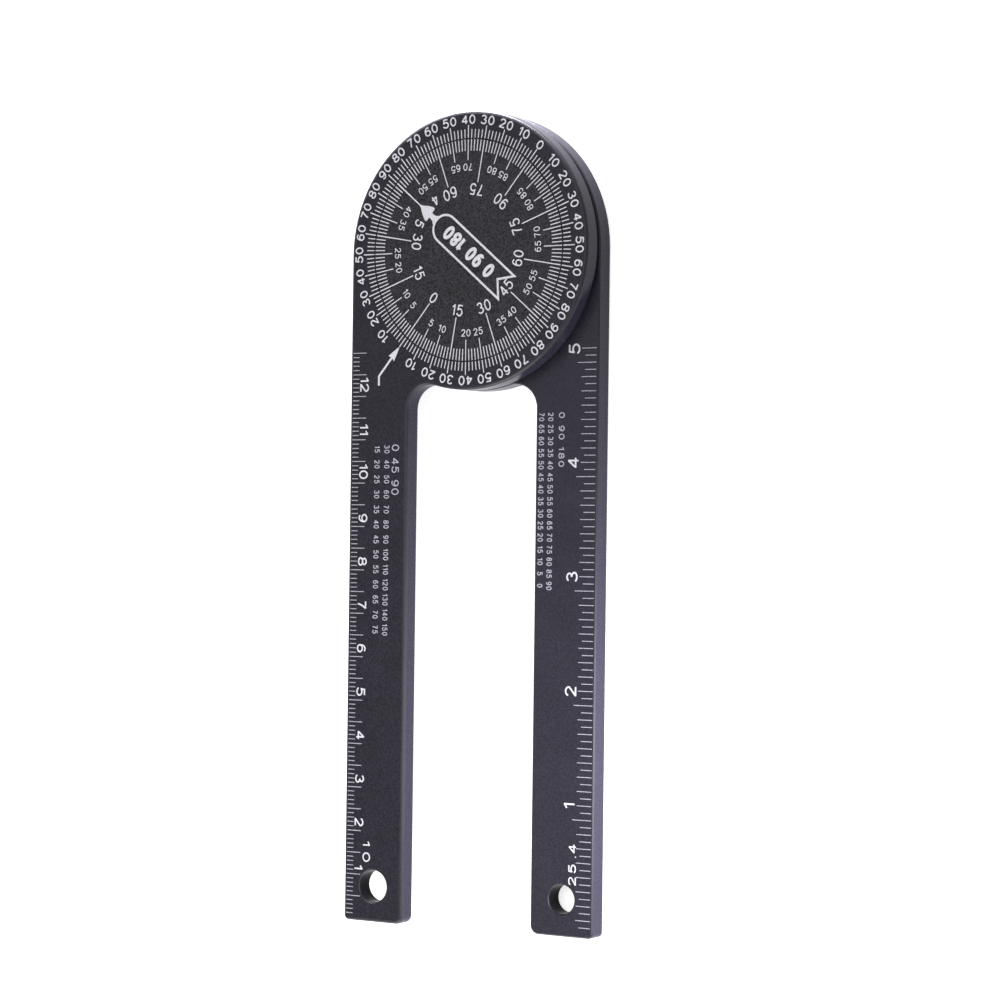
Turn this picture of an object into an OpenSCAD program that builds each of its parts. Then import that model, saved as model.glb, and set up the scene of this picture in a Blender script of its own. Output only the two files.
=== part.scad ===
/* [Head and arms] */
// Radius of the round heads, half the width across the closed arms
head_r = 31.6; // [30:0.1:40]
// Distance from the pivot to the ends of the arms
arm_reach = 153.4; // [100:0.1:250]
// Width of each arm
arm_w = 16.1; // [13:0.1:20]
// Thickness of the rear arm
rear_t = 4.7; // [3.6:0.1:7]
// Thickness of the front arm and its ring
front_t = 4.4; // [3.8:0.1:7]
// Radius of the fillet where an arm's inner edge runs into its head
neck_fillet = 5.5; // [2:0.1:10]
// Radius of the arm-end corner on the outer, graduated edge
outer_corner = 1.1; // [1:0.1:3]
// Radius of the arm-end corner on the inner edge
inner_corner = 2; // [1:0.1:5]
// Bevel broken onto the outside edges of the two arms
edge_bevel = 0.3; // [0.1:0.05:0.5]
// Radius rounded onto the front edge of the front arm and its ring
front_round = 0.8; // [0.3:0.05:0.9]

/* [Hanging holes] */
// Radius of the hole in the front arm's end
front_hole_r = 3.7; // [2:0.1:5]
// Radius of the hole in the rear arm's end
rear_hole_r = 3.3; // [2:0.1:5]
// Distance from the holes' centres to the arm ends
hole_inset = 8.2; // [7:0.1:14]
// Bevel at the mouths of the holes
hole_bevel = 0.25; // [0.1:0.05:0.4]

/* [Dial] */
// Width of the graduated ring's face round the dial
ring_w = 6.4; // [5:0.05:7.5]
// Thickness of the disc at its rim
dial_t = 1.8; // [1.4:0.1:2.2]
// Gap between the dial's rim and the ring around it
rim_gap = 0.1; // [0.1:0.05:0.4]
// Bevel on the dial's rim and on the mouth of the ring
rim_bevel = 0.05; // [0.05:0.05:0.3]
// Overhang of the dial past its hub, which holds the ring down
flange_w = 4; // [3:0.1:5]
// Running clearance between the hub and the ring's bore
hub_fit = 0.05; // [0.02:0.01:0.1]
// Radius of the spigot that centres the dial on the rear arm
spigot_r = 6; // [4:0.1:7.5]
// Length of the spigot
spigot_h = 1; // [0.5:0.1:1.6]
// Clearance round the spigot and under it
spigot_fit = 0.05; // [0.02:0.01:0.2]

/* [Washers] */
// Thickness of the slip washer, which keeps the two arms apart
slip_t = 1; // [0.6:0.1:2]
// Inset of the slip washer's rim from the edge of the heads
slip_inset = 2.9; // [1.5:0.1:4.5]
// Clearance round the hub inside both washers
washer_fit = 0.2; // [0.1:0.05:0.4]
// Height of the conical spring washer as it sits squeezed under the dial
spring_h = 0.5; // [0.4:0.05:0.7]
// Thickness of the spring washer's steel
spring_t = 0.3; // [0.2:0.05:0.35]

/* [Dial screws] */
// Inset of the screws' centres from the edge of the dial's hub
screw_inset = 8; // [6:0.1:9.5]
// Thread radius
screw_r = 1.5; // [1.25:0.25:2]
// Head radius
screw_head_r = 2.75; // [2.5:0.05:3.5]
// Height of the straight rim round the head
screw_rim = 0.2; // [0.1:0.05:0.4]
// Length of thread that bites in the dial's hub
screw_bite = 3.4; // [2.5:0.1:3.6]
// How far the heads lie below the rear face
screw_sink = 0.1; // [0.05:0.05:0.3]
// Clearance round a screw in the rear arm
screw_fit = 0.1; // [0.05:0.05:0.3]
// Clearance between a screw's cone and its countersink
seat_fit = 0.02; // [0.01:0.01:0.05]
// Clearance between a screw and its tapped hole
tap_fit = 0.02; // [0.01:0.01:0.05]
// Depth left open in the tapped holes beyond the screws' ends
tap_spare = 0.5; // [0.2:0.1:0.8]
// Width of the cross recess's arms
drive_w = 0.7; // [0.5:0.05:1]
// Length across the cross recess
drive_l = 3; // [2:0.1:3.6]
// Depth of the cross recess
drive_h = 0.9; // [0.5:0.1:1.1]

/* [Hidden] */
$fn = 96;
// Number of dial_screw nodes
screw_count = 4;
// Reach past a face, so that a cut leaves no skin
cut = 0.5;
// Flats that stand in for a rounded edge, and for a bevelled one
round_steps = 3;
bevel_steps = 1;

// Heights of the stack, from the rear face at 0
ring_z = rear_t + slip_t;
face_z = ring_z + front_t;
flange_z = face_z - dial_t;
land_z = flange_z - spring_h;

ring_mouth_r = head_r - ring_w;
dial_r = ring_mouth_r - rim_gap;
hub_r = dial_r - flange_w;
screw_circle_r = hub_r - screw_inset;
ring_bore_r = hub_r + hub_fit;
washer_bore_r = hub_r + washer_fit;
slip_r = head_r - slip_inset;
hole_x = head_r - arm_w / 2;
hole_y = hole_inset - arm_reach;

screw_end_z = rear_t + screw_bite;
screw_rim_z = screw_sink + screw_rim;

// Points from b in along the face to b down the side, on an arc cut into flats
function edge_points(b, steps) = [
    for (i = [0 : steps])
        let (a = 90 * i / steps)
            [b * (1 - sin(a)), b * (1 - cos(a))]
];

// A side from its foot to its top, as inset and height: bevelled below, and eased by top above
function flank(h, top, steps) = concat(
    edge_points(edge_bevel, bevel_steps),
    [for (i = [steps : -1 : 0]) let (p = edge_points(top, steps)[i]) [p.x, h - p.y]]
);

// Disc with the given flank
module eased_disc(r, h, side) {
    rotate_extrude()
        polygon(concat([[0, 0]], [for (p = side) [r - p.x, p.y]], [[0, h]]));
}

// Round through cut that leaves the given flank on what stays round it
module eased_bore(r, h, side) {
    foot = side[0].x;
    top = side[len(side) - 1].x;
    rotate_extrude()
        polygon(concat(
            [[0, -cut], [r + foot + cut, -cut]],
            [for (p = side) [r + p.x, p.y]],
            [[r + top + cut, h + cut], [0, h + cut]]
        ));
}

// Hanging hole, bevelled at both mouths
module hanging_hole(r, h) {
    eased_bore(r, h, [[hole_bevel, 0], [0, hole_bevel], [0, h - hole_bevel], [hole_bevel, h]]);
}

// Bar along Y from y0 to y1, between x0 and x1, with the given flank on both long sides
module bar_y(x0, x1, y0, y1, side) {
    last = len(side) - 1;
    translate([0, y1, 0])
        rotate([90, 0, 0])
            linear_extrude(height = y1 - y0)
                polygon(concat(
                    [for (p = side) [x1 - p.x, p.y]],
                    [for (i = [last : -1 : 0]) [x0 + side[i].x, side[i].y]]
                ));
}

// Web that fills the corner between the arm's inner edge and the head, with a concave eased edge
module neck_web(h, side) {
    inner_x = head_r - arm_w;
    reach_x = inner_x + 2 * front_round;
    web_x = inner_x - neck_fillet;
    web_y = -sqrt(pow(head_r + neck_fillet, 2) - pow(web_x, 2));
    touch = head_r / (head_r + neck_fillet);
    difference() {
        linear_extrude(height = h)
            polygon([
                [reach_x, web_y],
                [reach_x, 0],
                [0, 0],
                [web_x * touch, web_y * touch],
                [web_x, web_y]
            ]);
        translate([web_x, web_y, 0])
            eased_bore(neck_fillet, h, side);
    }
}

// One arm with its round head, arm on the +X side, rear face on z = 0
module arm_blank(h, side) {
    end_y = -arm_reach;
    inner_x = head_r - arm_w;
    eased_disc(head_r, h, side);
    neck_web(h, side);
    bar_y(inner_x, head_r, end_y + inner_corner, 0, side);
    bar_y(inner_x + inner_corner, head_r, end_y + outer_corner, end_y + 2 * inner_corner, side);
    translate([0, end_y, 0])
        rotate([0, 0, 90])
            bar_y(0, 2 * inner_corner, -head_r + outer_corner, -inner_x - inner_corner, side);
    translate([inner_x + inner_corner, end_y + inner_corner, 0])
        eased_disc(inner_corner, h, side);
    translate([head_r - outer_corner, end_y + outer_corner, 0])
        eased_disc(outer_corner, h, side);
}

// Countersunk seat and through hole for one screw, z = 0 at the rear face
module screw_hole() {
    hole_r = screw_r + screw_fit;
    mouth_r = screw_head_r + screw_fit;
    cone_z = screw_rim_z + screw_head_r + seat_fit;
    rotate_extrude()
        polygon([
            [0, -cut], [mouth_r, -cut], [mouth_r, cone_z - mouth_r],
            [hole_r, cone_z - hole_r], [hole_r, rear_t + cut], [0, rear_t + cut]
        ]);
}

module at_screws() {
    for (i = [0 : screw_count - 1])
        rotate([0, 0, 45 + i * 360 / screw_count])
            translate([screw_circle_r, 0, 0])
                children();
}

// Rear arm, graduated in inches, with its head and the seat for the dial's spigot
module base_arm() {
    color("#33333a")
        difference() {
            arm_blank(rear_t, flank(rear_t, edge_bevel, bevel_steps));
            translate([hole_x, hole_y, 0])
                hanging_hole(rear_hole_r, rear_t);
            translate([0, 0, rear_t - spigot_h - spigot_fit])
                cylinder(h = spigot_h + spigot_fit + cut, r = spigot_r + spigot_fit);
            at_screws()
                screw_hole();
        }
}

// Front arm, graduated in centimetres, one piece with the graduated ring that turns on the hub
module ring_arm() {
    color("#34343c")
        difference() {
            translate([0, 0, ring_z])
                mirror([1, 0, 0])
                    arm_blank(front_t, flank(front_t, front_round, round_steps));
            translate([-hole_x, hole_y, ring_z])
                hanging_hole(front_hole_r, front_t);
            translate([0, 0, ring_z - cut])
                cylinder(h = front_t + 2 * cut, r = ring_bore_r);
            rotate_extrude()
                polygon([
                    [0, land_z], [ring_mouth_r, land_z], [ring_mouth_r, face_z - rim_bevel],
                    [ring_mouth_r + rim_bevel + cut, face_z + cut], [0, face_z + cut]
                ]);
        }
}

// Dial: graduated disc, the hub under it and the spigot that centres it, turned from one piece
module dial() {
    color("#38383f")
        difference() {
            rotate_extrude()
                polygon([
                    [0, rear_t - spigot_h], [spigot_r, rear_t - spigot_h], [spigot_r, rear_t],
                    [hub_r, rear_t], [hub_r, flange_z], [dial_r, flange_z],
                    [dial_r, face_z - rim_bevel], [dial_r - rim_bevel, face_z], [0, face_z]
                ]);
            at_screws()
                translate([0, 0, rear_t - cut])
                    cylinder(h = screw_bite + tap_spare + cut, r = screw_r + tap_fit);
        }
}

// Slip washer between the two arms, round the hub
module slip_washer() {
    color("#1b1b1d")
        translate([0, 0, rear_t])
            difference() {
                cylinder(h = slip_t, r = slip_r);
                translate([0, 0, -cut])
                    cylinder(h = slip_t + 2 * cut, r = washer_bore_r);
            }
}

// Conical spring washer between the ring's land and the dial, which sets the turning friction
module spring_washer() {
    rim_r = dial_r - washer_fit;
    rise = spring_h - spring_t;
    color("#8f9196")
        rotate_extrude()
            polygon([
                [washer_bore_r, land_z + rise], [rim_r, land_z],
                [rim_r, land_z + spring_t], [washer_bore_r, land_z + spring_h]
            ]);
}

// Countersunk screw number i, driven from the rear face
module dial_screw(i) {
    color("#2a2a2c")
        rotate([0, 0, 45 + (i - 1) * 360 / screw_count])
            translate([screw_circle_r, 0, 0])
                difference() {
                    rotate_extrude()
                        polygon([
                            [0, screw_sink], [screw_head_r, screw_sink],
                            [screw_head_r, screw_rim_z],
                            [screw_r, screw_rim_z + screw_head_r - screw_r],
                            [screw_r, screw_end_z], [0, screw_end_z]
                        ]);
                    for (turn = [0, 90])
                        rotate([0, 0, turn])
                            translate([-drive_l / 2, -drive_w / 2, screw_sink - cut])
                                cube([drive_l, drive_w, drive_h + cut]);
                }
}

base_arm();
ring_arm();
dial();
slip_washer();
spring_washer();
dial_screw(1);  // dial_screw_1
dial_screw(2);  // dial_screw_2
dial_screw(3);  // dial_screw_3
dial_screw(4);  // dial_screw_4
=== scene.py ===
# %% [markdown]
# # A miter saw protractor
# Two flat aluminium arms turn on one pivot like the legs of a compass. The front arm ends in a
# wide ring, and a round dial sits inside that ring. Pale marks on dark metal give the angle.
# The solids come from the CAD model. This lesson adds what a solid can't carry: the printed
# scales, the finish of each metal, and a plain studio to see them in.

# %% Load the fixed frame
import math

import bpy
import numpy as np
from mathutils import Matrix, Vector
from mathutils.geometry import delaunay_2d_cdt


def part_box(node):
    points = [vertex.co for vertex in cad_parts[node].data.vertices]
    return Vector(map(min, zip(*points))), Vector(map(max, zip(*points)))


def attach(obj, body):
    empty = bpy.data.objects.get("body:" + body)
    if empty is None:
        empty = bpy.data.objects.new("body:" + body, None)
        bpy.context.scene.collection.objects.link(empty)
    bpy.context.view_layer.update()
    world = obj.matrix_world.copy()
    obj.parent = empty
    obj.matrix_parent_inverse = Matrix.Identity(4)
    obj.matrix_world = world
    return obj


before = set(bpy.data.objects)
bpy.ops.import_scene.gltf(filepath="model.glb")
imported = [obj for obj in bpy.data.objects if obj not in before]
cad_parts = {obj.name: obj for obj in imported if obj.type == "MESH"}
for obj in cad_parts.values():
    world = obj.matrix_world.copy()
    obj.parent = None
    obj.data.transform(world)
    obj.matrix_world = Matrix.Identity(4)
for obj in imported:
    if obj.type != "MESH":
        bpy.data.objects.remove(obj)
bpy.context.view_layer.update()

MM = 0.001

# %% [markdown]
# ## Sizes that the marks lean on
# Every mark is placed from the solids it lies on. Numbers typed in by hand would do too, but they
# would stay behind when the model changes. The boxes of three nodes give the height of both
# faces, the dial's radius, the arms' outer edges and their ends.

# %% Read the sizes from the frame
front_low, front_high = (np.array(c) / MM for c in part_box("ring_arm"))
rear_high = np.array(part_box("base_arm")[1]) / MM
dial_high = np.array(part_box("dial")[1]) / MM

FRONT_Z, REAR_Z = front_high[2], rear_high[2]
ARM_END, LEFT_EDGE, RIGHT_EDGE = front_low[1], front_low[0], rear_high[0]
DIAL_R = dial_high[0]
print(f"dial radius {DIAL_R:.2f}, faces at {FRONT_Z:.2f} and {REAR_Z:.2f}, arm ends at {ARM_END:.2f}")

# %% [markdown]
# ## Small helpers for materials
# A colour picked from a screen is an sRGB value, and the renderer counts in linear light, so one
# function turns a hex value into linear numbers. Another adds a node, with its settings and with
# whatever feeds its sockets. The rest wrap the few nodes that every finish here needs, so that a
# material reads as a short list of steps. Nodes set up by hand in the editor would look the same,
# but a script can be read, and run again.

# %% Colours and nodes
def linear(hex_colour):
    """sRGB hex to linear RGBA: c / 12.92 below 0.04045, else ((c + 0.055) / 1.055) ** 2.4."""
    srgb = np.array([int(hex_colour[i : i + 2], 16) for i in (1, 3, 5)]) / 255
    rgb = np.where(srgb < 0.04045, srgb / 12.92, ((srgb + 0.055) / 1.055) ** 2.4)
    return (*rgb.tolist(), 1.0)


print("a screen's middle grey is", round(linear("#808080")[0], 3), "in linear light")


def add(tree, kind, sockets=None, **settings):
    """Adds a node, sets its own settings, then fills each named socket with a value or a link."""
    node = tree.nodes.new(kind)
    for name, value in settings.items():
        setattr(node, name, value)
    for name, value in (sockets or {}).items():
        if isinstance(value, bpy.types.NodeSocket):
            tree.links.new(value, node.inputs[name])
        else:
            node.inputs[name].default_value = value
    return node


def new_material(name):
    """An empty node tree with its output and its object coordinates."""
    material = bpy.data.materials.new(name)
    material.use_nodes = True
    tree = material.node_tree
    tree.nodes.clear()
    output = add(tree, "ShaderNodeOutputMaterial")
    place = add(tree, "ShaderNodeTexCoord").outputs["Object"]
    print("material:", name)
    return material, tree, output, place


# %% Helpers for values, colours and bumps
def per_mm(size):
    """Texture scale at which one unit of the texture is this many millimetres."""
    return 1 / (size * MM)


def noise(tree, place, size, detail, roughness=0.5):
    """Noise whose features are about this many millimetres across."""
    sockets = {"Vector": place, "Scale": per_mm(size), "Detail": detail, "Roughness": roughness}
    return add(tree, "ShaderNodeTexNoise", sockets).outputs["Fac"]


def reckon(tree, operation, *values):
    """The result of one Math node, its inputs given in order."""
    return add(tree, "ShaderNodeMath", dict(enumerate(values)), operation=operation).outputs[0]


def ranged(tree, value, seen, wanted):
    """A value carried from one range to another, and held inside it."""
    sockets = {"Value": value, "From Min": seen[0], "From Max": seen[1],
               "To Min": wanted[0], "To Max": wanted[1]}
    return add(tree, "ShaderNodeMapRange", sockets).outputs["Result"]


def two_tones(tree, value, low, high, low_at=0.0, high_at=1.0):
    """A ramp from one colour to another as the value goes from low_at to high_at."""
    ramp = add(tree, "ShaderNodeValToRGB", {"Fac": value})
    for stop, position, colour in zip(ramp.color_ramp.elements, (low_at, high_at), (low, high)):
        stop.position = position
        stop.color = colour
    return ramp.outputs["Color"]


def scaled(tree, colour, factor):
    """A colour made lighter or darker by a factor."""
    sockets = {0: colour, "Scale": factor}
    return add(tree, "ShaderNodeVectorMath", sockets, operation="SCALE").outputs["Vector"]


def dented(tree, height, strength, depth):
    """A normal bumped by a texture that is this many millimetres deep."""
    sockets = {"Height": height, "Strength": strength, "Distance": depth * MM}
    return add(tree, "ShaderNodeBump", sockets).outputs["Normal"]


def surface(tree, output, sockets):
    """A Principled surface with these sockets, plugged into the output."""
    skin = add(tree, "ShaderNodeBsdfPrincipled", sockets)
    tree.links.new(skin.outputs[0], output.inputs["Surface"])


# %% [markdown]
# ## Where each cutter has been
# A blasted plate is milled along its sides, rounded at its upper edge and drilled near its end,
# and each cutter leaves its own finish. The same masks also carry painted shade: a darker tone on
# the rounded edges, and near-black on the hole's wall. Painted vertex weights could tell these
# places apart, but the shape says it already. A side wall's normal lies flat, so its height is
# near 0. A face's is near 1, and a rounded edge's is between. The hole's wall is the upright one
# that stands near the hole's centre.

# %% Masks for walls, edges and holes
WALL_BELOW, FACE_ABOVE = 0.1, 0.98
HOLE_FROM_EDGE, HOLE_FROM_END, HOLE_REACH = 8.05, 8.2, 4.2
print(f"holes at x {RIGHT_EDGE - HOLE_FROM_EDGE:.2f} on either side, y {ARM_END + HOLE_FROM_END:.2f}")


def cut_masks(tree, place, side):
    """1 on milled walls, on rounded edges and in the hole, whose x has the sign of side."""
    normal = add(tree, "ShaderNodeNewGeometry").outputs["True Normal"]
    height = add(tree, "ShaderNodeSeparateXYZ", {0: normal}).outputs["Z"]
    upright = reckon(tree, "ABSOLUTE", height)
    milled = reckon(tree, "LESS_THAN", upright, WALL_BELOW)
    not_face = reckon(tree, "LESS_THAN", upright, FACE_ABOVE)
    rounded = reckon(tree, "SUBTRACT", not_face, milled)
    flat = add(tree, "ShaderNodeVectorMath", {0: place, 1: (1.0, 1.0, 0.0)}, operation="MULTIPLY")
    hole = (side * (RIGHT_EDGE - HOLE_FROM_EDGE) * MM, (ARM_END + HOLE_FROM_END) * MM, 0.0)
    away = add(tree, "ShaderNodeVectorMath", {0: flat.outputs[0], 1: hole}, operation="DISTANCE")
    near = reckon(tree, "LESS_THAN", away.outputs["Value"], HOLE_REACH * MM)
    drilled = reckon(tree, "MULTIPLY", near, milled)
    return milled, rounded, drilled


def stepped(tree, value, *steps):
    """A value that a step raises or lowers wherever its mask is 1."""
    for mask, step in steps:
        value = reckon(tree, "MULTIPLY_ADD", mask, step, value)
    return value


# %% [markdown]
# ## Black anodised aluminium
# The arms and the dial are machined from plate, blasted with fine grit, then anodised: a thin
# dyed oxide skin grows on the metal. The eye sees a soft charcoal with a violet cast, a satin
# sheen, and a salt-and-pepper grain from the blasting, strongest on the dial. The side walls are
# milled after the faces are blasted, so they are smoother, and where they are seen nearly edge-on
# they mirror the white table. On the arms the rounded edges are given a painted shade, darker than
# the faces, but they shine more. The holes' walls are the smoothest, and their near-black colour
# is painted shade.
# A photograph of the grain would do it, but noise on object coordinates has no seams and can be
# given a real size. The real grit is near 0.1 mm: it is drawn at 0.38 mm, so that it shows.

# %% Anodised finish
GRIT_MM, CLOUD_MM, GRIT_DEPTH = 0.38, 9.0, 0.02
# The dark tone of the arms' rounded edges and the near-black of the holes' walls are painted shade.
WALL_SHARE, EDGE_SHADE_SHARE, HOLE_SHADE_SHARE = 0.8, 0.85, 1.0
WALL_VIOLET, EDGE_PAINTED_SHADE, DIAL_RIM, HOLE_PAINTED_SHADE = "#2e2c3a", "#201f27", "#39383f", "#0d0c10"


def anodised(name, base, grain, wall, edge, side):
    """Charcoal oxide: fine grit in colour and height, slow clouds in colour, smoother side walls.

    grain is how far the grit moves the colour either way, wall the colour of the milled sides,
    edge the colour of the rounded edges, a painted shade on the arms, and side is -1 or 1 for the
    side of the arm's hole, whose wall is painted near-black as shade.
    """
    material, tree, output, place = new_material(name)
    milled, rounded, drilled = cut_masks(tree, place, side)
    grit = noise(tree, place, GRIT_MM, 1.0, 0.6)
    cloud = noise(tree, place, CLOUD_MM, 3.0)
    dark, light = (tuple(c * k for c in linear(base)[:3]) + (1.0,) for k in (1 - grain, 1 + grain))
    speckle = two_tones(tree, grit, dark, light, 0.36, 0.64)
    colour = scaled(tree, speckle, ranged(tree, cloud, (0.3, 0.7), (0.92, 1.08)))
    uneven = ranged(tree, grit, (0.35, 0.65), (0.8, 1.2))
    # Painted shade: the rounded edges are darkened, and the hole's wall is made near-black.
    cuts = ((milled, WALL_SHARE, wall), (rounded, EDGE_SHADE_SHARE, edge), (drilled, HOLE_SHADE_SHARE, HOLE_PAINTED_SHADE))
    for mask, share, tint in cuts:
        colour = add(tree, "ShaderNodeMix",
                     {"Factor": reckon(tree, "MULTIPLY", mask, share), "A": colour,
                      "B": scaled(tree, linear(tint)[:3], uneven)},
                     data_type="RGBA").outputs["Result"]
    blasted = ranged(tree, grit, (0.0, 1.0), (0.44, 0.60))
    surface(tree, output,
            {"Base Color": colour, "Normal": dented(tree, grit, 0.4, GRIT_DEPTH),
             "Roughness": stepped(tree, blasted, (milled, -0.28), (drilled, -0.08)),
             "Metallic": stepped(tree, 0.3, (milled, -0.3)),
             "Specular IOR Level": stepped(tree, 0.2, (milled, -0.1), (rounded, 0.3), (drilled, -0.07))})
    return material


# Black anodised, fine matt, a little darker and coarser in its grain than the rear arm.
front_anodised = anodised("front_arm_black_anodised_aluminium", "#282730", 0.34,
                          WALL_VIOLET, EDGE_PAINTED_SHADE, -1)
# Black anodised, fine matt, with the faintest grain of the three.
rear_anodised = anodised("rear_arm_black_anodised_aluminium", "#2f2e38", 0.2,
                         WALL_VIOLET, EDGE_PAINTED_SHADE, 1)
# Black anodised over a coarser blast, so its grain is the strongest.
dial_anodised = anodised("dial_blasted_black_anodised_aluminium", "#2e2d32", 0.6,
                         DIAL_RIM, DIAL_RIM, 1)

# %% [markdown]
# ## White marks
# The scales are marked by a laser that bleaches the dye, which leaves a thin, chalky, slightly
# grey white with tiny pores. Enamel paint would be smooth and glossy, and this isn't, so it is
# modelled as a matt white with fine mottling in its colour. The rulers' fine ticks and the
# smallest figures take one pass of the laser, and stay greyer.

# %% Laser-marked white, full and fine
PORE_MM = 0.3


def marked_white(name, low, high):
    """Chalky white or grey, mottled between two tones, quite matt."""
    material, tree, output, place = new_material(name)
    pores = noise(tree, place, PORE_MM, 2.0)
    tone = two_tones(tree, pores, linear(low), linear(high), 0.3, 0.6)
    surface(tree, output, {"Base Color": tone, "Roughness": 0.7})
    return material


# Bleached oxide, full strength: the round scales, the large numbers, the arrows and the banner.
mark_white = marked_white("laser_marked_white_oxide", "#c1c0c8", "#e0dfe5")
# Bleached oxide, one pass: the rulers' ticks and the small tables on the arms.
fine_white = marked_white("laser_marked_fine_grey_oxide", "#9493a0", "#bbbac6")

# %% [markdown]
# ## Washers and screws
# The slip washer between the arms is moulded black nylon, softly glossy with a faint moulded
# unevenness. The conical spring washer is bright rolled steel. The four screws that hold the dial
# are black-oxide steel: a thin, oily, almost black skin. The steels could be one flat grey, but
# then they would look like plastic, so a wave texture gives them rings of tone round the pivot.

# %% Nylon, spring steel and black-oxide steel
MOULD_MM, MOULD_DEPTH, RING_DEPTH = 1.5, 0.05, 0.02
WAVE_RADIANS = 20


def moulded_nylon(name):
    """Near-black nylon, its gloss broken up by a faint moulding texture."""
    material, tree, output, place = new_material(name)
    flow = noise(tree, place, MOULD_MM, 4.0)
    surface(tree, output,
            {"Base Color": two_tones(tree, flow, linear("#151517"), linear("#26262a")),
             "Roughness": 0.5, "IOR": 1.53, "Normal": dented(tree, flow, 0.2, MOULD_DEPTH)})
    return material


def ringed_steel(name, low, high, roughness, step):
    """Steel with rings of tone round the pivot, whose wave moves on by a radian in each step, in mm.

    Blender's wave texture runs through 20 radians in one unit, hence the division.
    """
    material, tree, output, place = new_material(name)
    rings = add(tree, "ShaderNodeTexWave",
                {"Vector": place, "Scale": per_mm(step) / WAVE_RADIANS, "Distortion": 0.6, "Detail": 2.0},
                wave_type="RINGS", rings_direction="Z").outputs["Fac"]
    surface(tree, output,
            {"Base Color": two_tones(tree, rings, linear(low), linear(high)), "Metallic": 1.0,
             "Roughness": roughness, "Normal": dented(tree, rings, 0.15, RING_DEPTH)})
    return material


# Moulded nylon, dyed through, satin.
slip_nylon = moulded_nylon("slip_washer_black_nylon")
# Rolled spring steel, bare and bright.
spring_steel = ringed_steel("spring_washer_bright_steel", "#8e9096", "#b4b6bb", 0.3, 0.6)
# Steel under a black oxide skin with a trace of oil.
screw_steel = ringed_steel("dial_screw_black_oxide_steel", "#2b2b2e", "#454549", 0.38, 0.5)

# %% [markdown]
# ## Each solid gets its finish
# A solid comes from the CAD model with one plain slot. The mesh could be copied and dressed, but
# the slot alone is enough: its material is swapped, and the solid itself isn't touched.

# %% Fill the slots by the solid's name
finish_of = {
    "base_arm": rear_anodised, "ring_arm": front_anodised, "dial": dial_anodised,
    "slip_washer": slip_nylon, "spring_washer": spring_steel,
}
for node_name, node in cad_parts.items():
    material = finish_of.get(node_name, screw_steel)
    for slot in node.material_slots:
        slot.material = material
    print(node_name, "->", material.name)

# %% [markdown]
# ## Strokes
# A mark is a stroke: a centreline given a width. A bevelled curve would make one too, but it
# would be a round wire, and a print is flat. The ribbon is worked out for all its points at once.
# Each point gets the mean of its two neighbours' normals, and steps out to both sides by half the
# width, a little further at a bend, so that the stroke keeps its width round it.

# %% From a centreline to a ribbon of quads
SHARPEST_BEND = 0.4


def ribbon(path, width, closed=False):
    """Quads along a path: point + normal * half width / cos(half the turn), on either side."""
    path = np.asarray(path, float)
    ends = np.roll(path, -1, axis=0) if closed else path[1:]
    step = ends - path[: len(ends)]
    step /= np.linalg.norm(step, axis=1, keepdims=True)
    normal = np.stack([-step[:, 1], step[:, 0]], axis=1)
    before = np.roll(normal, 1, axis=0) if closed else np.vstack([normal[:1], normal])
    after = normal if closed else np.vstack([normal, normal[-1:]])
    mean = before + after
    mean /= np.linalg.norm(mean, axis=1, keepdims=True)
    cosine = (mean * after).sum(axis=1, keepdims=True)
    reach = width / 2 / np.maximum(cosine, SHARPEST_BEND)
    left, right = path + mean * reach, path - mean * reach
    quads = np.stack([right[:-1], right[1:], left[1:], left[:-1]], axis=1)
    if closed:
        seam = np.stack([right[-1], right[0], left[0], left[-1]])
        quads = np.concatenate([quads, seam[None]])
    return quads


def arc(centre, radii, start, end, count):
    """Points on an ellipse from one angle to another, in degrees, counter-clockwise positive."""
    angle = np.radians(np.linspace(start, end, count))
    return np.stack([centre[0] + radii[0] * np.cos(angle), centre[1] + radii[1] * np.sin(angle)], axis=1)


print("a straight stroke has", len(ribbon([(0, 0), (1, 0)], 0.2)), "quad")

# %% [markdown]
# ## Plain figures
# The numbers are drawn, not set in a font: each figure is one to three strokes inside a box that
# is 1 wide and 1 high. An arc or a line stretched to the wanted height gives every size from one
# drawing, and the stroke's width stays free, as with an engraver's cutter. A text object would be
# quicker, but its strokes grow thicker with its height.

# %% Ten figures as strokes
ROUND = 20


def line(*points):
    """An open stroke through these points."""
    return np.array(points), False


def bow(centre, radii, start, end):
    """An open stroke along part of an ellipse."""
    return arc(centre, radii, start, end, ROUND), False


def loop(centre, radii):
    """A closed stroke round an ellipse."""
    return arc(centre, radii, 0, 360, 2 * ROUND)[:-1], True


FIGURES = {
    "0": [loop((0.5, 0.5), (0.5, 0.5))],
    "1": [line((0.0, 0.74), (0.5, 1.0)), line((0.44, 1.03), (0.44, -0.03))],
    "2": [(np.vstack([arc((0.49, 0.71), (0.46, 0.29), 172, -22, ROUND), [(0.0, 0.0)]]), False),
          line((-0.06, 0.0), (1.0, 0.0))],
    "3": [bow((0.47, 0.755), (0.42, 0.245), 160, -88), bow((0.48, 0.265), (0.5, 0.265), 88, -160)],
    "4": [line((0.74, -0.03), (0.74, 1.0)), line((0.74, 0.99), (0.0, 0.28)),
          line((-0.08, 0.26), (1.06, 0.26))],
    "5": [line((0.95, 1.0), (0.17, 1.0), (0.07, 0.5)), bow((0.46, 0.33), (0.52, 0.33), 142, -160)],
    "6": [loop((0.5, 0.32), (0.48, 0.32)), bow((0.56, 0.46), (0.54, 0.54), 190, 52)],
    "7": [line((0.0, 1.0), (1.0, 1.0)), line((0.97, 1.0), (0.62, 0.6), (0.42, 0.25), (0.34, -0.03))],
    "8": [loop((0.5, 0.76), (0.42, 0.24)), loop((0.5, 0.265), (0.5, 0.265))],
    ".": [line((0.4, -0.06), (0.4, 0.1))],
}
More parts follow.
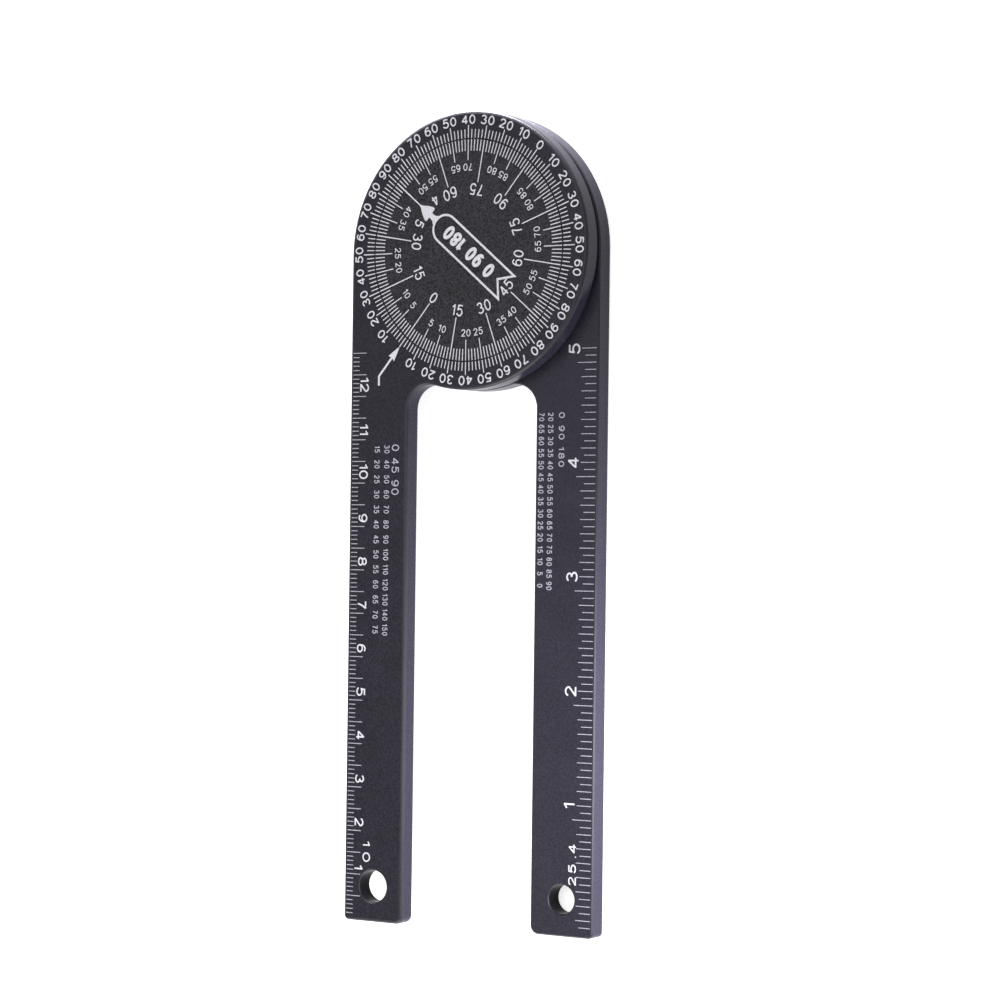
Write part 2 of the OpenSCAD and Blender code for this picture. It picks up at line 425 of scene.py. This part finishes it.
FIGURES["9"] = [(1 - path, closed) for path, closed in FIGURES["6"]]
SHARE_OF_WIDTH = {"1": 0.62, ".": 0.45, " ": 0.45}
print("strokes in each figure:", {figure: len(strokes) for figure, strokes in FIGURES.items()})

# %% [markdown]
# ## Numbers from figures
# A number is its figures side by side, then turned and set down where it is read. Placing every
# figure by hand would work for one scale, but this tool carries more than a hundred numbers.

# %% Numbers from figures
def pitches_of(text, wide, gap):
    """Room for each figure of a number: its own width and the gap after it."""
    return np.array([wide * SHARE_OF_WIDTH.get(c, 1.0) + gap for c in text])


def number(text, cap, wide, stroke, gap, place, turn=0.0, slant=0.0):
    """Quads of a number centred on place: figures side by side, turned clockwise by turn degrees.

    cap and wide are a figure's outer height and width, gap the bare space between two, and slant
    the lean of the uprights as a share of their height. A 1, a point and a space are narrower.
    """
    inner = np.array([wide - stroke, cap - stroke])
    pitches = pitches_of(text, wide, gap)
    starts = np.concatenate([[0], np.cumsum(pitches)[:-1]]) - (pitches.sum() - gap) / 2
    turned = math.radians(turn)
    spin = np.array([[math.cos(turned), -math.sin(turned)], [math.sin(turned), math.cos(turned)]])
    quads = []
    for start, character in zip(starts, text):
        for path, closed in FIGURES.get(character, []):
            flat = path * inner + [start + stroke / 2, -inner[1] / 2]
            flat[:, 0] += slant * flat[:, 1]
            quads.append(ribbon(flat, stroke, closed))
    return np.concatenate(quads) @ spin + place


print("a 90 that is 2 mm high needs", len(number("90", 2.0, 1.5, 0.3, 0.4, (0, 0))), "quads")

# %% [markdown]
# ## From quads to a printed film
# Strokes that cross would leave faces inside each other. A boolean for each pair could clear
# them, but it is slow and fails on flat shapes. A constrained triangulation joins them all to one
# outline instead. It wants every face counter-clockwise, so each quad is first cut into two
# triangles, and those that run the other way are turned round. The outline is then given a
# thickness of two hundredths of a millimetre: a lid, a floor on the metal, and a wall wherever a
# triangle's edge has no neighbour.

# %% Joined outlines, given a thickness
FILM = 0.02
SLIVER, WELD = 1e-7, 1e-5
INSIDE_ONLY = 1


def counter_clockwise(corners):
    """Triangles whose twice-area, (b - a) x (c - a), is positive: turned if not, dropped at 0."""
    a, b, c = corners[:, 0], corners[:, 1], corners[:, 2]
    area = (b - a)[:, 0] * (c - a)[:, 1] - (b - a)[:, 1] * (c - a)[:, 0]
    turned = np.where(area[:, None, None] < 0, corners[:, ::-1], corners)
    return turned[np.abs(area) > SLIVER]


def joined(quads):
    """Points and triangles of the one outline that overlapping quads cover."""
    cut = counter_clockwise(np.concatenate([quads[:, [0, 1, 2]], quads[:, [0, 2, 3]]]))
    flat = [Vector(p) for p in cut.reshape(-1, 2)]
    faces = np.arange(len(flat)).reshape(-1, 3).tolist()
    points, _, triangles, _, _, source = delaunay_2d_cdt(flat, [], faces, INSIDE_ONLY, WELD)
    triangles = np.array([t for t, s in zip(triangles, source) if s])
    return np.array([tuple(p) for p in points]), triangles


def printed(name, quads, height, body, finish=mark_white):
    """A closed thin plate from overlapping quads, lying on a face at this height, in millimetres."""
    points, triangles = joined(np.concatenate(quads))
    edges = np.concatenate([triangles[:, [0, 1]], triangles[:, [1, 2]], triangles[:, [2, 0]]])
    count = len(points)
    forward, backward = edges[:, 0] * count + edges[:, 1], edges[:, 1] * count + edges[:, 0]
    rim = edges[~np.isin(forward, backward)]
    walls = np.stack([rim[:, 0], rim[:, 1], rim[:, 1] + count, rim[:, 0] + count], axis=1)
    floor, lid = (np.c_[points, np.full(count, z)] for z in (height, height + FILM))
    solid = np.vstack([floor, lid]) * MM
    faces = triangles[:, ::-1].tolist() + (triangles + count).tolist() + walls.tolist()
    mesh = bpy.data.meshes.new(name)
    mesh.from_pydata(solid.tolist(), [], faces)
    mesh.materials.append(finish)
    piece = bpy.data.objects.new(name, mesh)
    bpy.context.scene.collection.objects.link(piece)
    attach(piece, body)
    print(f"{name}: {len(mesh.polygons)} faces, rides on {body}")
    return piece


# %% [markdown]
# ## The ring's scale, for a single cut
# The ring carries a tick at every second degree and a number at every tenth, read outwards. The
# count starts 40 degrees right of the top and rises to 90 on either side. Its own zero, at the
# lower left, is an arrow on the arm instead of a figure. One tick could be copied round by an
# array modifier, but here each is a quad along a radius, so all of them come from one formula.

# %% Ring ticks and ring numbers
ANGLES = np.arange(0, 360, 2)
ZERO_AT, ARROW_AT = 40, 220
short_ticks = ANGLES[ANGLES % 10 != 0]
long_ticks = ANGLES[ANGLES % 10 == 0]


def heading(angle):
    """Unit vector at an angle in degrees, counted clockwise from the top of the dial."""
    return np.array([math.sin(math.radians(angle)), math.cos(math.radians(angle))])


def spokes(angles, inner, outer, width):
    """One quad for each angle, between two radii."""
    out = np.stack([np.sin(np.radians(angles)), np.cos(np.radians(angles))], axis=1)
    side = np.stack([out[:, 1], -out[:, 0]], axis=1) * width / 2
    corners = [out * inner + side, out * outer + side, out * outer - side, out * inner - side]
    return np.stack(corners, axis=1)


# All radii are counted from the dial's rim. Ticks stop short of the gap round it, on both sides.
RING_START, DIAL_STOP = DIAL_R + 0.26, DIAL_R - 0.12
RING_SHORT_STOP, RING_LONG_STOP, RING_NUMBER_R = DIAL_R + 2.2, DIAL_R + 3.15, DIAL_R + 4.4
FINE_TICK, RING_LONG_TICK, DIAL_LONG_TICK = 0.21, 0.23, 0.24
RING_FIGURE = {"cap": 2.15, "wide": 1.62, "stroke": 0.32, "gap": 0.4}
printed("ring_ticks",
        [spokes(short_ticks, RING_START, RING_SHORT_STOP, FINE_TICK),
         spokes(long_ticks, RING_START, RING_LONG_STOP, RING_LONG_TICK)],
        FRONT_Z, "front_arm")

ring_numbers = []
for angle in long_ticks[long_ticks != ARROW_AT]:
    past_zero = (angle - ZERO_AT) % 180
    reading = min(past_zero, 180 - past_zero)
    spot = heading(angle) * RING_NUMBER_R
    ring_numbers.append(number(str(reading), **RING_FIGURE, place=spot, turn=angle))
printed("ring_numbers", ring_numbers, FRONT_Z, "front_arm")

# %% [markdown]
# ## The dial's scale, for a miter cut
# A miter splits the corner in two, so the dial counts one for every two degrees of travel: 0 at
# the lower left, 90 at the upper right. Every fifth tick is longer and has a small number, every
# fifteenth is longer still and has a large one. All of them are read from the centre, with the
# tops of the figures towards it. A table of angles and numbers would hold the same, but the
# numbers follow from the angles, so they are worked out. The pointer runs through one of the
# large numbers, whose two figures stand on either side of it.

# %% Dial ticks and dial numbers
ABOUT_ARROW, ASIDE = 310, 13.3
SHORT_START, FIFTH_START, FIFTEENTH_START = DIAL_R - 2.7, DIAL_R - 4.8, DIAL_R - 9.7
SMALL_R, LARGE_R, SPLIT_R = DIAL_R - 6.35, DIAL_R - 11.35, DIAL_R - 10.6
SMALL_FIGURE = {"cap": 1.65, "wide": 1.08, "stroke": 0.2, "gap": 0.28}
LARGE_FIGURE = {"cap": 2.65, "wide": 1.62, "stroke": 0.32, "gap": 0.38}
SPLIT_FIGURE = {"cap": 2.5, "wide": 1.55, "stroke": 0.32, "gap": 0.38}
is_fifteenth = (long_ticks - 10) % 30 == 0
fifth, fifteenth = long_ticks[~is_fifteenth], long_ticks[is_fifteenth]
printed("dial_ticks",
        [spokes(short_ticks, SHORT_START, DIAL_STOP, FINE_TICK),
         spokes(fifth, FIFTH_START, DIAL_STOP, FINE_TICK),
         spokes(fifteenth[fifteenth != ABOUT_ARROW], FIFTEENTH_START, DIAL_STOP, DIAL_LONG_TICK)],
        FRONT_Z, "rear_arm")


def towards_centre(text, style, angle, radius):
    """A number on the dial at an angle, with the tops of its figures towards the centre."""
    return number(text, **style, place=heading(angle) * radius, turn=angle + 180)


dial_numbers = []
for angle in long_ticks:
    reading = str(abs((angle - ARROW_AT + 180) % 360 - 180) // 2)
    if angle not in fifteenth:
        dial_numbers.append(towards_centre(reading, SMALL_FIGURE, angle, SMALL_R))
    elif angle != ABOUT_ARROW:
        dial_numbers.append(towards_centre(reading, LARGE_FIGURE, angle, LARGE_R))
    else:
        for figure, away in zip(reading, (ASIDE, -ASIDE)):
            dial_numbers.append(towards_centre(figure, SPLIT_FIGURE, angle + away, SPLIT_R))
printed("dial_numbers", dial_numbers, FRONT_Z, "rear_arm")

# %% [markdown]
# ## The dial's pointer and its banner
# A barbed arrow points at the ring's scale. It grows out of a banner with one round end and one
# swallow-tail end. Both could be traced as one outline, but as strokes they keep an even width:
# the arrow's head is a filled strip, its line a spoke, and the banner one closed ribbon. Plain
# figures fill the banner.

# %% Pointer, banner and the figures in it
ALONG = heading(ABOUT_ARROW)
ACROSS = np.array([ALONG[1], -ALONG[0]])
POINTER_START, POINTER_LINE, OUTLINE = DIAL_R - 8.6, 0.3, 0.5


def on_pointer(points):
    """From distance along the pointer and distance to its right, to the dial's x and y."""
    points = np.asarray(points, float)
    return points[..., :1] * ALONG + points[..., 1:] * ACROSS


# Half of the arrow's head, from its tip back to the banner: along the pointer, then aside.
HALF_HEAD = np.array([
    (16.9, 0.13), (16.1, 0.36), (15.0, 1.12), (14.3, 1.48), (13.6, 1.78), (13.15, 1.86), (12.95, 1.62),
    (13.2, 1.05), (13.1, 0.66), (12.4, 0.62), (11.7, 0.74), (11.1, 1.2), (10.9, 1.3),
])
strip = np.stack([HALF_HEAD * [1, -1], HALF_HEAD], axis=1)
head_quads = np.stack([strip[:-1, 0], strip[:-1, 1], strip[1:, 1], strip[1:, 0]], axis=1)

BANNER_HALF, BANNER_END, TAIL, NOTCH = 3.25, 7.7, -13.8, -10.75
BANNER_FIGURE = {"cap": 3.6, "wide": 2.15, "stroke": 0.78, "gap": 0.3, "slant": 0.12}
BANNER_MIDDLE = (-0.6, 0.0)
round_end = arc((0, 0), (BANNER_HALF, BANNER_HALF), -90, 90, 2 * ROUND) + [BANNER_END, 0]
banner = np.vstack([round_end, [(TAIL, BANNER_HALF), (NOTCH, 0), (TAIL, -BANNER_HALF)]])
printed("dial_pointer",
        [on_pointer(head_quads), spokes(np.array([ABOUT_ARROW]), POINTER_START, DIAL_STOP, POINTER_LINE),
         ribbon(on_pointer(banner), OUTLINE, closed=True)],
        FRONT_Z, "rear_arm")
printed("banner_numbers",
        [number("0 90 180", **BANNER_FIGURE, place=on_pointer(BANNER_MIDDLE), turn=ABOUT_ARROW - 90)],
        FRONT_Z, "rear_arm")

# %% [markdown]
# ## The arrow on the front arm
# It stands in for the ring's lower zero: a slim filled head whose tip touches the ticks, with a
# line behind it that bends straight down the arm. A plain 0 would do, but an arrow shows the
# exact tick.

# %% Arrow on the arm
TOWARDS = heading(ARROW_AT)
BESIDE = np.array([TOWARDS[1], -TOWARDS[0]])
ARROW_GAP, ARROW_LENGTH, ARROW_HALF, BACK_NOTCH = 0.5, 3.7, 1.0, 0.35
STEM_TUCK, STEM_LENGTH, DROP = 0.5, 5.2, 2.15
ARROW_TIP = RING_SHORT_STOP + ARROW_GAP
ARROW_BACK = ARROW_TIP + ARROW_LENGTH
tip, back = TOWARDS * ARROW_TIP, TOWARDS * ARROW_BACK
inner_back = TOWARDS * (ARROW_BACK - BACK_NOTCH)
arrow_head = np.stack([tip, back + BESIDE * ARROW_HALF, inner_back, back - BESIDE * ARROW_HALF])
elbow = TOWARDS * (ARROW_BACK + STEM_LENGTH)
stem = np.array([TOWARDS * (ARROW_BACK - STEM_TUCK), elbow, elbow - [0, DROP]])
printed("arm_arrow", [arrow_head[None], ribbon(stem, OUTLINE)], FRONT_Z, "front_arm")

# %% [markdown]
# ## The two rulers
# The front arm is graduated in millimetres with a number at each centimetre, and the rear arm in
# sixteenths with a number at each inch. Both start a little in from the arm's end, and their
# figures lie with their tops towards the gap between the arms. A stretched picture of a ruler
# would blur, and its length would be a guess. These ticks are as sharp as the metal's own edge,
# and they stand at true distances, so the tool really measures.

# %% Millimetres on the front arm, inches on the rear one
RULER_ZERO = ARM_END + 0.72
INCH = 25.4
DOWN_THE_ARM, UP_THE_ARM = 90, -90


def rungs(heights, start, lengths, width):
    """One quad for each height, from start along x by its own length."""
    low = np.stack([np.full(len(heights), start), heights - width / 2], axis=1)
    high = low + [0, width]
    reach = np.stack([lengths, np.zeros(len(heights))], axis=1)
    return np.stack([low, low + reach, high + reach, high], axis=1)


LAST_MM, MM_INSET, MM_TICK = 130, 0.82, 0.17
millimetres = np.arange(1, LAST_MM + 1)
mm_length = np.where(millimetres % 5 == 0, 3.7, 1.75)
printed("mm_ticks", [rungs(RULER_ZERO + millimetres, LEFT_EDGE + MM_INSET, mm_length, MM_TICK)],
        FRONT_Z, "front_arm", fine_white)

LAST_CM, CM_LINE, OVER_TICK = 12, 4.05, 0.95
CM_FIGURE = {"cap": 2.45, "wide": 2.0, "stroke": 0.36, "gap": 0.25}
cm_numbers = []
for cm in range(1, LAST_CM + 1):
    length = pitches_of(str(cm), CM_FIGURE["wide"], CM_FIGURE["gap"]).sum() - CM_FIGURE["gap"]
    spot = [LEFT_EDGE + CM_LINE, RULER_ZERO + 10 * cm + OVER_TICK + length / 2]
    cm_numbers.append(number(str(cm), **CM_FIGURE, place=spot, turn=DOWN_THE_ARM))
printed("cm_numbers", cm_numbers, FRONT_Z, "front_arm")

LAST_SIXTEENTH, INCH_INSET, INCH_TICK = 82, 0.6, 0.16
sixteenths = np.arange(1, LAST_SIXTEENTH + 1)
inch_length = np.select([sixteenths % 16 == 0, sixteenths % 2 == 0], [4.85, 3.75], 2.85)
printed("inch_ticks",
        [rungs(RULER_ZERO + sixteenths * INCH / 16, RIGHT_EDGE - INCH_INSET, -inch_length, INCH_TICK)],
        REAR_Z, "rear_arm", fine_white)

LAST_INCH, INCH_LINE, OVER_INCH = 5, 6.25, 3.1
INCH_FIGURE = {"cap": 2.95, "wide": 2.35, "stroke": 0.4, "gap": 0.3}
inch_numbers = []
for inch in range(1, LAST_INCH + 1):
    spot = [RIGHT_EDGE - INCH_LINE, RULER_ZERO + INCH * inch + OVER_INCH]
    inch_numbers.append(number(str(inch), **INCH_FIGURE, place=spot, turn=UP_THE_ARM))
printed("inch_numbers", inch_numbers, REAR_Z, "rear_arm")

# %% [markdown]
# ## Small tables of figures
# Each arm has a block of fine marks beside its ruler, in three lines. Here these are plain
# numbers. On the front arm a corner's angle stands above the setting that halves it. On the rear
# arm the angle at which a board meets a wall stands above the setting for its one cut, which is
# what is left of 90 degrees. The larger line over each table gives the range of its scale. Near
# each hole stands the length of one numbered step of the ruler, in millimetres. A table could be
# typed in, but a typed row could hold a wrong number, so the second is worked out from the first.

# %% Tables on the arms
CORNERS = np.arange(30, 151, 10)
MEETS_WALL = np.arange(20, 91, 5)
TABLE_FIGURE = {"wide": 0.84, "stroke": 0.2, "gap": 0.24}
FRONT_TITLE = {"cap": 2.0, "wide": 1.5, "stroke": 0.25, "gap": 0.45}
REAR_TITLE = {"cap": 1.5, "wide": 1.3, "stroke": 0.22, "gap": 0.53}
FRONT_UNIT = {"cap": 2.1, "wide": 2.2, "stroke": 0.31, "gap": 1.3}
REAR_UNIT = {"cap": 2.0, "wide": 1.95, "stroke": 0.31, "gap": 0.8}


def table_rows(rows, lines, first, pitch, cap):
    """Numbers in two rows: lines gives each row's x, first the y of its first number."""
    quads = []
    for line_x, row in zip(lines, rows):
        for index, entry in enumerate(row):
            spot = [line_x, first - pitch * index]
            quads.append(number(str(entry), cap, **TABLE_FIGURE, place=spot, turn=DOWN_THE_ARM))
    return quads


# Each place is counted in from the arm's outer edge and up from its end.
FRONT_LINES, FRONT_FIRST = (LEFT_EDGE + 10.5, LEFT_EDGE + 7.8), ARM_END + 108.5
FRONT_PITCH, FRONT_CAP = 3.45, 1.45
FRONT_TITLE_AT = (LEFT_EDGE + 12.85, ARM_END + 103.8)
front_rows = table_rows([CORNERS, CORNERS // 2], FRONT_LINES, FRONT_FIRST, FRONT_PITCH, FRONT_CAP)
front_title = number("0 45 90", **FRONT_TITLE, place=FRONT_TITLE_AT, turn=DOWN_THE_ARM)
printed("front_table", front_rows + [front_title], FRONT_Z, "front_arm", fine_white)

REAR_LINES, REAR_FIRST = (RIGHT_EDGE - 12.2, RIGHT_EDGE - 14.6), ARM_END + 115.7
REAR_PITCH, REAR_CAP = 2.7, 1.4
REAR_TITLE_AT = (RIGHT_EDGE - 9.35, ARM_END + 110.6)
rear_rows = table_rows([MEETS_WALL, 90 - MEETS_WALL], REAR_LINES, REAR_FIRST, REAR_PITCH, REAR_CAP)
rear_title = number("0 90 180", **REAR_TITLE, place=REAR_TITLE_AT, turn=DOWN_THE_ARM)
printed("rear_table", rear_rows + [rear_title], REAR_Z, "rear_arm", fine_white)

UNIT_Y = ARM_END + 16.1
front_unit = number("10", **FRONT_UNIT, place=(LEFT_EDGE + 6.2, UNIT_Y), turn=DOWN_THE_ARM)
printed("unit_figures_front", [front_unit], FRONT_Z, "front_arm")
rear_unit = number("25.4", **REAR_UNIT, place=(RIGHT_EDGE - 5.3, UNIT_Y), turn=UP_THE_ARM)
printed("unit_figures_rear", [rear_unit], REAR_Z, "rear_arm")

# %% [markdown]
# ## A white table
# The tool lies on a white table that goes on past the picture's edge. More lamps would turn it
# white too, but they would bleach the dark metal. So rays from the camera, and those mirrored by
# metal, get a little light of the table's own on top of what falls on it. It then reads as white
# paper, and keeps the tool's soft shadow.

# %% White table
TABLE_HALF, TABLE_Z = 2.0, -0.0002
TABLE_LIFT = 0.7
corners = [(x * TABLE_HALF, y * TABLE_HALF, TABLE_Z) for x, y in ((-1, -1), (1, -1), (1, 1), (-1, 1))]
sheet = bpy.data.meshes.new("table")
sheet.from_pydata(corners, [], [(0, 1, 2, 3)])
table = bpy.data.objects.new("table", sheet)
bpy.context.scene.collection.objects.link(table)

# Matt white paper.
paper, tree, output, place = new_material("white_table")
matt = add(tree, "ShaderNodeBsdfDiffuse", {"Color": linear("#f2f2f4")})
seen = add(tree, "ShaderNodeLightPath").outputs
direct = reckon(tree, "ADD", seen["Is Camera Ray"], seen["Is Transmission Ray"])
direct_or_mirrored = reckon(tree, "ADD", direct, seen["Is Glossy Ray"])
lift = reckon(tree, "MULTIPLY", direct_or_mirrored, TABLE_LIFT)
glow = add(tree, "ShaderNodeEmission", {"Color": (1, 1, 1, 1), "Strength": lift})
both = add(tree, "ShaderNodeAddShader", {0: matt.outputs[0], 1: glow.outputs[0]})
tree.links.new(both.outputs[0], output.inputs["Surface"])
sheet.materials.append(paper)
print(f"table: {2 * TABLE_HALF:.0f} m across, {-TABLE_Z / MM:.1f} mm under the tool")

# %% [markdown]
# ## Soft lights
# The key lamp is large and far off, as a soft box is, so the faces are lit evenly. The other
# three stand low, almost level with the tool, and light its walls much more than its faces. A sun
# lamp would be simpler, but it throws a hard shadow and leaves the walls dark.

# %% Soft lights and a pale sky
def soft_box(name, place, aim, size, power, colour="#ffffff", height=None, spread=180):
    """An area lamp at place that faces aim, in metres, with a grid that narrows it to spread degrees."""
    lamp = bpy.data.lights.new(name, "AREA")
    lamp.shape, lamp.size, lamp.size_y = "RECTANGLE", size, height or size
    lamp.energy, lamp.color, lamp.spread = power, linear(colour)[:3], math.radians(spread)
    holder = bpy.data.objects.new(name, lamp)
    bpy.context.scene.collection.objects.link(holder)
    holder.location = place
    holder.rotation_euler = (Vector(aim) - Vector(place)).to_track_quat("-Z", "Y").to_euler()
    print(f"{name}: {power} W, {size} m wide")


COOL = "#f6f5ff"
soft_box("key_soft_box", place=(-0.25, 0.1, 1.2), aim=(0.0, -0.06, 0.005), size=0.8, power=5.3)
soft_box("side_soft_box", place=(0.14, -0.118, 0.03), aim=(0.03, -0.118, 0.005), size=0.06, power=0.12,
         colour=COOL, spread=84)
soft_box("rim_soft_box", place=(-0.15, 0.35, 0.014), aim=(0.0, 0.0, 0.008), size=0.24, power=11.0,
         colour=COOL, height=0.024)
soft_box("fill_soft_box", place=(-0.05, -0.5, 0.12), aim=(0.0, -0.03, 0.005), size=0.3, power=2.6)

SKY_STRENGTH = 0.39
world = bpy.data.worlds.new("studio")
bpy.context.scene.world = world
world.use_nodes = True
world.node_tree.nodes.clear()
sky = add(world.node_tree, "ShaderNodeBackground", {"Color": (1, 1, 1, 1), "Strength": SKY_STRENGTH})
add(world.node_tree, "ShaderNodeOutputWorld", {"Surface": sky.outputs[0]})
bpy.context.scene.view_settings.view_transform = "Standard"

# %% [markdown]
# ## The camera
# The tool is seen from its right, 32 degrees off the upright, from two thirds of a metre away. A
# camera could be moved about by hand until the picture looks right. This one was worked out by
# least squares from the rulers' marks and the outlines, so the render can be laid over the
# photograph.

# %% Camera at the photograph's angle
TILT_X, TILT_Y, TILT_Z = (math.radians(a) for a in (-0.737, -31.943, -0.708))
SHIFT_X, SHIFT_Y, DISTANCE = -7.461, 56.462, 657.49
SENSOR, LENS_TO_SENSOR = 36.0, 2.91225
turn = Matrix.Rotation(TILT_Z, 3, "Z") @ Matrix.Rotation(TILT_X, 3, "X") @ Matrix.Rotation(TILT_Y, 3, "Y")
face_centre = Vector((0, 0, FRONT_Z))
stand = (turn.transposed() @ Vector((-SHIFT_X, -SHIFT_Y, DISTANCE)) + face_centre) * MM
view = bpy.data.cameras.new("photo_view")
view.sensor_width, view.lens = SENSOR, SENSOR * LENS_TO_SENSOR
camera = bpy.data.objects.new("photo_view", view)
bpy.context.scene.collection.objects.link(camera)
camera.matrix_world = Matrix.Translation(stand) @ turn.transposed().to_4x4()
bpy.context.scene.camera = camera
print("camera at, mm:", [round(c / MM, 1) for c in stand], "lens", round(view.lens, 2))
